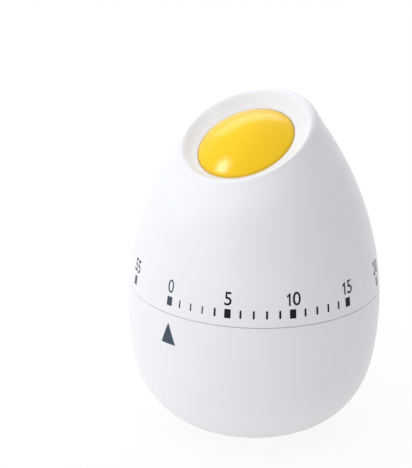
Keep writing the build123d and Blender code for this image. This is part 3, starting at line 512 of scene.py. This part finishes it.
# ---- minute scale ----
# The scale is pad printed in matt black on the lower edge of the dial: a square and a number every
# five minutes, and a line for each of the first fifteen minutes, finer for the first three. The ink
# film is a few hundredths of a millimetre thick and follows the curve of the shell.
SCALE_HEIGHT = dial_foot + 3.35 * MM
SQUARE = (1.6 * MM, 2.25 * MM)
LINE = (0.5 * MM, 2.0 * MM)
FINE_LINE = (0.34 * MM, 1.9 * MM)
ZERO_AT = 0.35  # degrees from the front
FIGURE_SIZE, FIGURE_WIDTH, FIGURE_RISE = 4.75 * MM, 2.1 * MM, 3.5 * MM
FILM = 0.05 * MM


def printed_patch(name, size, height):
    """A flat patch of ink that stands in front of the shell, ready to be pressed on to it."""
    let_go()
    bpy.ops.mesh.primitive_plane_add(
        size=1, location=(0, -EGG_RADIUS - 1 * MM, height), rotation=(math.pi / 2, 0, 0))
    patch = bpy.context.object
    patch.name = patch.data.name = name
    patch.scale = (size[0], size[1], 1)
    bpy.ops.object.transform_apply(location=True, rotation=True, scale=True)
    edit_all()
    bpy.ops.mesh.bevel(offset=0.12 * MM, segments=3, affect="VERTICES")
    bpy.ops.mesh.subdivide(number_cuts=1)
    bpy.ops.object.mode_set(mode="OBJECT")
    return patch


def pressed_on(print_, shell):
    """Lays flat ink on a shell's curved skin and gives it the thickness of a printed film."""
    let_go()
    print_.select_set(True)
    bpy.context.view_layer.objects.active = print_
    press = print_.modifiers.new("press", "SHRINKWRAP")
    press.target = shell
    press.wrap_method = "NEAREST_SURFACEPOINT"
    press.wrap_mode = "ABOVE_SURFACE"
    press.offset = 0.03 * MM
    film = print_.modifiers.new("film", "SOLIDIFY")
    film.thickness = FILM
    film.offset = -1
    bpy.ops.object.modifier_apply(modifier=press.name)
    bpy.ops.object.modifier_apply(modifier=film.name)


def as_one(pieces, name):
    """Joins pieces into one object."""
    let_go()
    for piece in pieces:
        piece.select_set(True)
    bpy.context.view_layer.objects.active = pieces[0]
    bpy.ops.object.join()
    whole = bpy.context.object
    whole.name = whole.data.name = name
    return whole


square = printed_patch("square", SQUARE, SCALE_HEIGHT)
line = printed_patch("line", LINE, SCALE_HEIGHT)
fine_line = printed_patch("fine_line", FINE_LINE, SCALE_HEIGHT)
marks = []
zero_print = []
for minute in [*range(15), *range(15, 60, 5)]:
    stamp = square if minute % 5 == 0 else fine_line if minute < 4 else line
    mark = turned_about_axis(copied(stamp, "mark"), 6 * minute + ZERO_AT)
    (marks if minute else zero_print).append(mark)
bpy.data.objects.remove(square)
bpy.data.objects.remove(line)
bpy.data.objects.remove(fine_line)


def digit_one():
    """A plain upright stroke with a slanting flag at its top left, 3.4 mm tall about the origin."""
    let_go()
    bpy.ops.mesh.primitive_plane_add(size=1, location=(0, 0, 0))
    one = bpy.context.object
    edit_all()
    bpy.ops.transform.resize(value=(0.46 * MM, 2.3 * MM, 1), center_override=(0, 0, 0))
    bpy.ops.transform.translate(value=(0.25 * MM, -0.3 * MM, 0))
    drawn = bmesh.from_edit_mesh(one.data)

    def take(belongs):
        """Selects the edges whose two ends both belong."""
        bpy.ops.mesh.select_all(action="DESELECT")
        bpy.ops.mesh.select_mode(type="EDGE")
        drawn.edges.ensure_lookup_table()
        for edge in drawn.edges:
            edge.select_set(belongs(edge.verts[0].co) and belongs(edge.verts[1].co))

    for rise in (0.45, 0.35):
        top = max(vert.co.y for vert in drawn.verts) - 0.01 * MM
        take(lambda at: at.y > top)
        bpy.ops.mesh.extrude_region_move()
        bpy.ops.transform.translate(value=(0, rise * MM, 0))
    take(lambda at: at.x < 0.1 * MM and 0.8 * MM < at.y < 1.35 * MM)
    for along, down in ((-0.25, -0.06), (-0.22, -0.2)):
        bpy.ops.mesh.extrude_region_move()
        bpy.ops.transform.translate(value=(along * MM, down * MM, 0))
    bpy.ops.mesh.select_all(action="SELECT")
    bpy.ops.mesh.subdivide(number_cuts=1)
    bpy.ops.object.mode_set(mode="OBJECT")
    return one


def lettered(body, wide, bold):
    """A figure drawn flat at the origin, in a width and a boldness.

    Points of its outline that nearly touch would spoil the offset that makes it bold, so they go.
    """
    let_go()
    bpy.ops.object.text_add(location=(0, 0, 0))
    text = bpy.context.object
    text.data.body = body
    text.data.size = FIGURE_SIZE
    text.data.align_x = "CENTER"
    text.data.align_y = "CENTER"
    text.data.resolution_u = 6
    bpy.ops.object.convert(target="CURVE")
    outline = bpy.context.object
    bpy.ops.object.mode_set(mode="EDIT")
    bpy.ops.curve.select_all(action="DESELECT")
    for loop in outline.data.splines:
        points = list(loop.bezier_points)
        for point, before in zip(points, points[-1:] + points):
            point.select_control_point = (point.co - before.co).length < 0.03 * MM
    bpy.ops.curve.dissolve_verts()
    bpy.ops.object.mode_set(mode="OBJECT")
    outline.data.offset = bold * MM
    bpy.ops.object.convert(target="MESH")
    figures = bpy.context.object
    edit_all()
    bpy.ops.transform.resize(value=(wide, 1, 1), center_override=(0, 0, 0))
    bpy.ops.object.mode_set(mode="OBJECT")
    return figures


for minute in range(0, 60, 5):
    figures = []
    for place, digit in enumerate(str(minute)):
        if digit == "1":
            figure = digit_one()
        elif minute:
            figure = lettered(digit, 0.95, 0.04)
        else:
            figure = lettered(digit, 0.86, 0)
        edit_all()
        along = (2 * place + 1 - len(str(minute))) * FIGURE_WIDTH / 2
        bpy.ops.transform.translate(value=(along, 0, 0))
        bpy.ops.object.mode_set(mode="OBJECT")
        figures.append(figure)
    number = as_one(figures, "number")
    edit_all()
    bpy.ops.transform.rotate(value=-math.pi / 2, orient_axis="X", center_override=(0, 0, 0))
    bpy.ops.transform.translate(value=(0, -EGG_RADIUS - 1 * MM, SCALE_HEIGHT + FIGURE_RISE))
    bpy.ops.object.mode_set(mode="OBJECT")
    turned_about_axis(number, 6 * minute + ZERO_AT)
    (marks if minute else zero_print).append(number)
scale_print = as_one(marks, "minute_scale_print")
zero = as_one(zero_print, "zero_print")
black_ink, shader, tree = node_material("black_pad_print")
shader.inputs["IOR"].default_value = 1.45
shader.inputs["Specular IOR Level"].default_value = 0.15
shader.inputs["Sheen Weight"].default_value = 1.0
shader.inputs["Sheen Roughness"].default_value = 0.3
mottled(tree, shader, (0.004, 0.005, 0.009), (0.008, 0.009, 0.014), 1.5, 0.4, 0.55)
fine_bump(tree, shader, 0.15, 0.003, 0.3)
slate_ink, shader, tree = node_material("slate_pad_print")
shader.inputs["IOR"].default_value = 1.45
mottled(tree, shader, (0.022, 0.034, 0.06), (0.05, 0.075, 0.12), 1.2, 0.35, 0.5)
fine_bump(tree, shader, 0.15, 0.003, 0.3)
for ink_print, ink in ((scale_print, black_ink), (zero, slate_ink)):
    pressed_on(ink_print, upper)
    finished(ink_print, ink)
    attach(ink_print, "dial")


# ---- pointer ----
# A slate blue triangle, pad printed on the lower shell just under the seam, that the dial's
# numbers are read against.
POINTER_WIDTH, POINTER_HEIGHT, POINTER_DROP = 4.5 * MM, 5.15 * MM, 4.95 * MM
POINTER_AT = 0.5  # degrees from the front
let_go()
bpy.ops.mesh.primitive_plane_add(size=1, location=(0, 0, 0))
pointer = bpy.context.object
pointer.name = pointer.data.name = "pointer_print"
edit_all()
bpy.ops.transform.resize(value=(POINTER_WIDTH, POINTER_HEIGHT, 1), center_override=(0, 0, 0))
bpy.ops.mesh.select_all(action="DESELECT")
outline = bmesh.from_edit_mesh(pointer.data)
for corner in outline.verts:
    corner.select_set(corner.co.y > 0)
outline.select_flush(True)
bpy.ops.transform.resize(value=(0.05, 1, 1), center_override=(0, 0, 0))
bpy.ops.mesh.select_all(action="SELECT")
bpy.ops.mesh.subdivide(number_cuts=9)
bpy.ops.transform.rotate(value=-math.pi / 2, orient_axis="X", center_override=(0, 0, 0))
bpy.ops.transform.translate(value=(0, -EGG_RADIUS - 1 * MM, dial_foot - POINTER_DROP))
bpy.ops.object.mode_set(mode="OBJECT")
turned_about_axis(pointer, POINTER_AT)
pressed_on(pointer, lower)
finished(pointer, slate_ink)
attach(pointer, "base")


# ---- movement ----
# The clockwork inside: zinc plated plates held apart by turned pillars, brass wheels on ground
# steel arbors, blued springs, a nickelled bell and two plastic parts. Each keeps the shape of its
# solid and gets the finish of its material.
def metal(name, colour, other, patch, smooth, rough, grain, bump):
    """A metal whose colour and polish wander a little, with a fine grain."""
    finish, shader, tree = node_material(name)
    shader.inputs["Metallic"].default_value = 1
    mottled(tree, shader, colour, other, patch, smooth, rough)
    fine_bump(tree, shader, grain, 0.004, bump)
    return finish


def finish_nodes(finish, *names):
    """Gives parts that keep their solid's shape their material."""
    for name in names:
        finished(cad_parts[name], finish)


finish_nodes(metal("stamped_brass", (0.75, 0.52, 0.2), (0.82, 0.6, 0.27), 4, 0.22, 0.38, 0.3, 0.3),
             "great_wheel", "second_wheel", "third_wheel", "escape_wheel", "pallet_lever",
             "balance_wheel", "roller", "hair_stud", "click_stud")
finish_nodes(metal("ground_steel", (0.5, 0.5, 0.52), (0.58, 0.58, 0.59), 1.5, 0.22, 0.32, 0.15, 0.15),
             "main_arbor", "ratchet_wheel", "click", "stop_finger", "stop_pin", "spring_post",
             "second_pinion", "third_pinion", "escape_pinion", "pallet_pins", "pallet_arbor",
             "balance_staff", "hammer", "cam_lever", "hammer_arbor", "pillars")
finish_nodes(metal("zinc_plate", (0.62, 0.63, 0.64), (0.72, 0.71, 0.66), 6, 0.28, 0.45, 0.4, 0.2),
             "bottom_plate", "top_plate", "carrier_screws", "bell_screw", "pillar_screws",
             "movement_screws")
finish_nodes(metal("blued_spring_steel", (0.18, 0.22, 0.32), (0.3, 0.32, 0.38), 2, 0.2, 0.32, 0.2, 0.3),
             "arbor_clip", "friction_washer", "click_spring", "mainspring", "hairspring",
             "hammer_spring")
finish_nodes(metal("nickelled_bell", (0.68, 0.67, 0.64), (0.76, 0.75, 0.72), 8, 0.08, 0.16, 0.5, 0.1),
             "bell")
inner_abs, shader, tree = node_material("matt_white_plastic")
mottled(tree, shader, (0.7, 0.7, 0.67), (0.76, 0.76, 0.73), 6, 0.45, 0.6)
fine_bump(tree, shader, 0.25, 0.01, 0.4)
finish_nodes(inner_abs, "drive_carrier", "release_cam")


# ---- leaf springs ----
# Two strips of blued spring steel: one presses the click on its ratchet, the other holds the hammer
# off the bell. Each is fixed by its foot, and in the timer it bends as the piece that it presses on
# pushes its tip. Here each is a finely subdivided copy of its solid and is not bent.
def leaf_spring(node):
    """A finely subdivided strip that replaces a spring's solid."""
    strip = bpy.data.objects.new(node + "_strip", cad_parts[node].data.copy())
    bpy.context.scene.collection.objects.link(strip)
    let_go()
    strip.select_set(True)
    bpy.context.view_layer.objects.active = strip
    edit_all()
    bpy.ops.mesh.remove_doubles(threshold=0.001 * MM)
    bpy.ops.mesh.subdivide(number_cuts=5)
    bpy.ops.object.mode_set(mode="OBJECT")
    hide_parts(node)
    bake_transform(strip)


leaf_spring("click_spring")
leaf_spring("hammer_spring")


# ---- table and light ----
# A plain pale table in a white room, whose glow comes mostly from the upper left. A large softbox
# stands to the left, weaker ones in front, low on the right and above, and a long one behind draws
# the bright band on the yolk. Three nested disks light the yolk alone and give it its soft spot.
let_go()
bpy.ops.mesh.primitive_plane_add(size=3, location=(0, 0, 0))
table = bpy.context.object
table.name = "table"
table_white, shader, tree = node_material("white_table")
shader.inputs["Base Color"].default_value = (0.9, 0.9, 0.9, 1)
shader.inputs["Roughness"].default_value = 0.9
shader.inputs["Specular IOR Level"].default_value = 0
# The camera sees mostly plain white there, with a faint shadow.
seen = tree.nodes.new("ShaderNodeLightPath")
white = tree.nodes.new("ShaderNodeEmission")
faded = tree.nodes.new("ShaderNodeMixShader")
lit = add_node(tree, "ShaderNodeMapRange")
lit.inputs["To Min"].default_value = 0.5
lit.inputs["To Max"].default_value = 0.87
tree.links.new(seen.outputs["Is Camera Ray"], lit.inputs["Value"])
tree.links.new(lit.outputs["Result"], faded.inputs["Fac"])
tree.links.new(shader.outputs["BSDF"], faded.inputs[1])
tree.links.new(white.outputs["Emission"], faded.inputs[2])
tree.links.new(faded.outputs["Shader"], tree.nodes["Material Output"].inputs["Surface"])
table.data.materials.append(table_white)

world = bpy.data.worlds.new("white_room")
bpy.context.scene.world = world
world.use_nodes = True
tree = world.node_tree
room = tree.nodes["Background"]
direction = tree.nodes.new("ShaderNodeTexCoord")
towards_light = add_node(tree, "ShaderNodeVectorMath", operation="DOT_PRODUCT")
towards_light.inputs[1].default_value = (-0.47, 0.03, 0.88)
glow = tree.nodes.new("ShaderNodeMapRange")
glow.inputs["From Min"].default_value = -0.25
glow.inputs["To Min"].default_value = 0.05
glow.inputs["To Max"].default_value = 1.3
cool = tree.nodes.new("ShaderNodeMix")
cool.data_type = "RGBA"
cool.inputs["A"].default_value = (1.0, 0.96, 0.94, 1)
cool.inputs["B"].default_value = (0.91, 0.94, 1.0, 1)
tree.links.new(towards_light.outputs["Value"], cool.inputs["Factor"])
tree.links.new(cool.outputs["Result"], room.inputs["Color"])
tree.links.new(direction.outputs["Generated"], towards_light.inputs[0])
tree.links.new(towards_light.outputs["Value"], glow.inputs["Value"])
tree.links.new(glow.outputs["Result"], room.inputs["Strength"])
# The camera, metal and clear surfaces see the room as plain white.
white = tree.nodes.new("ShaderNodeBackground")
seen = tree.nodes.new("ShaderNodeLightPath")
either = add_node(tree, "ShaderNodeMath", operation="MAXIMUM")
any_seen = add_node(tree, "ShaderNodeMath", operation="MAXIMUM")
switch = tree.nodes.new("ShaderNodeMixShader")
tree.links.new(seen.outputs["Is Camera Ray"], either.inputs[0])
tree.links.new(seen.outputs["Is Glossy Ray"], either.inputs[1])
tree.links.new(either.outputs["Value"], any_seen.inputs[0])
tree.links.new(seen.outputs["Is Transmission Ray"], any_seen.inputs[1])
tree.links.new(any_seen.outputs["Value"], switch.inputs["Fac"])
tree.links.new(room.outputs["Background"], switch.inputs[1])
tree.links.new(white.outputs["Background"], switch.inputs[2])
tree.links.new(switch.outputs["Shader"], tree.nodes["World Output"].inputs["Surface"])


def soft_lamp(name, turn, rise, distance, size, power, colour=(1, 1, 1), shape="RECTANGLE"):
    """A lamp that faces the timer, from a turn about it and a rise above the table in degrees."""
    data = bpy.data.lights.new(name, "AREA")
    data.shape = shape
    data.size, data.size_y = size
    data.energy = power
    data.color = colour
    lamp = bpy.data.objects.new(name, data)
    bpy.context.scene.collection.objects.link(lamp)
    turn, rise = math.radians(turn), math.radians(rise)
    away = Vector((math.cos(turn) * math.cos(rise), math.sin(turn) * math.cos(rise), math.sin(rise)))
    lamp.location = Vector((0, 0, 0.045)) + away * distance
    lamp.rotation_euler = away.to_track_quat("Z", "Y").to_euler()
    return lamp


def only_on_yolk(lamp, state):
    """Keeps a lamp's light to the yolk, or off it."""
    group = bpy.data.collections.new(lamp.name)
    group.objects.link(yolk)
    group.collection_objects[0].light_linking.link_state = state
    lamp.light_linking.receiver_collection = group


soft_lamp("front_softbox", -86, 8, 0.8, (0.6, 0.3), 0.66)
soft_lamp("low_fill", -48, 1, 0.5, (0.6, 0.06), 0.14, (1.0, 0.97, 0.96))
for number, size in enumerate((0.2, 0.32, 0.44)):
    disk = soft_lamp("round_reflector", -130, 35, 0.86 + 0.02 * number, (size, size), 0.65, shape="DISK")
    only_on_yolk(disk, "INCLUDE")
left = soft_lamp("left_softbox", -130, 35, 1.0, (1.0, 1.0), 2.22, (0.97, 0.98, 1.0))
top = soft_lamp("top_reflector", -60, 75, 0.6, (0.12, 0.12), 0.26, (0.88, 0.92, 1.0), "DISK")
only_on_yolk(left, "EXCLUDE")
only_on_yolk(top, "EXCLUDE")
soft_lamp("back_softbox", 138, 33, 0.8, (0.9, 0.3), 1.0, (0.95, 0.97, 1.0))

bpy.context.scene.view_settings.view_transform = "Standard"
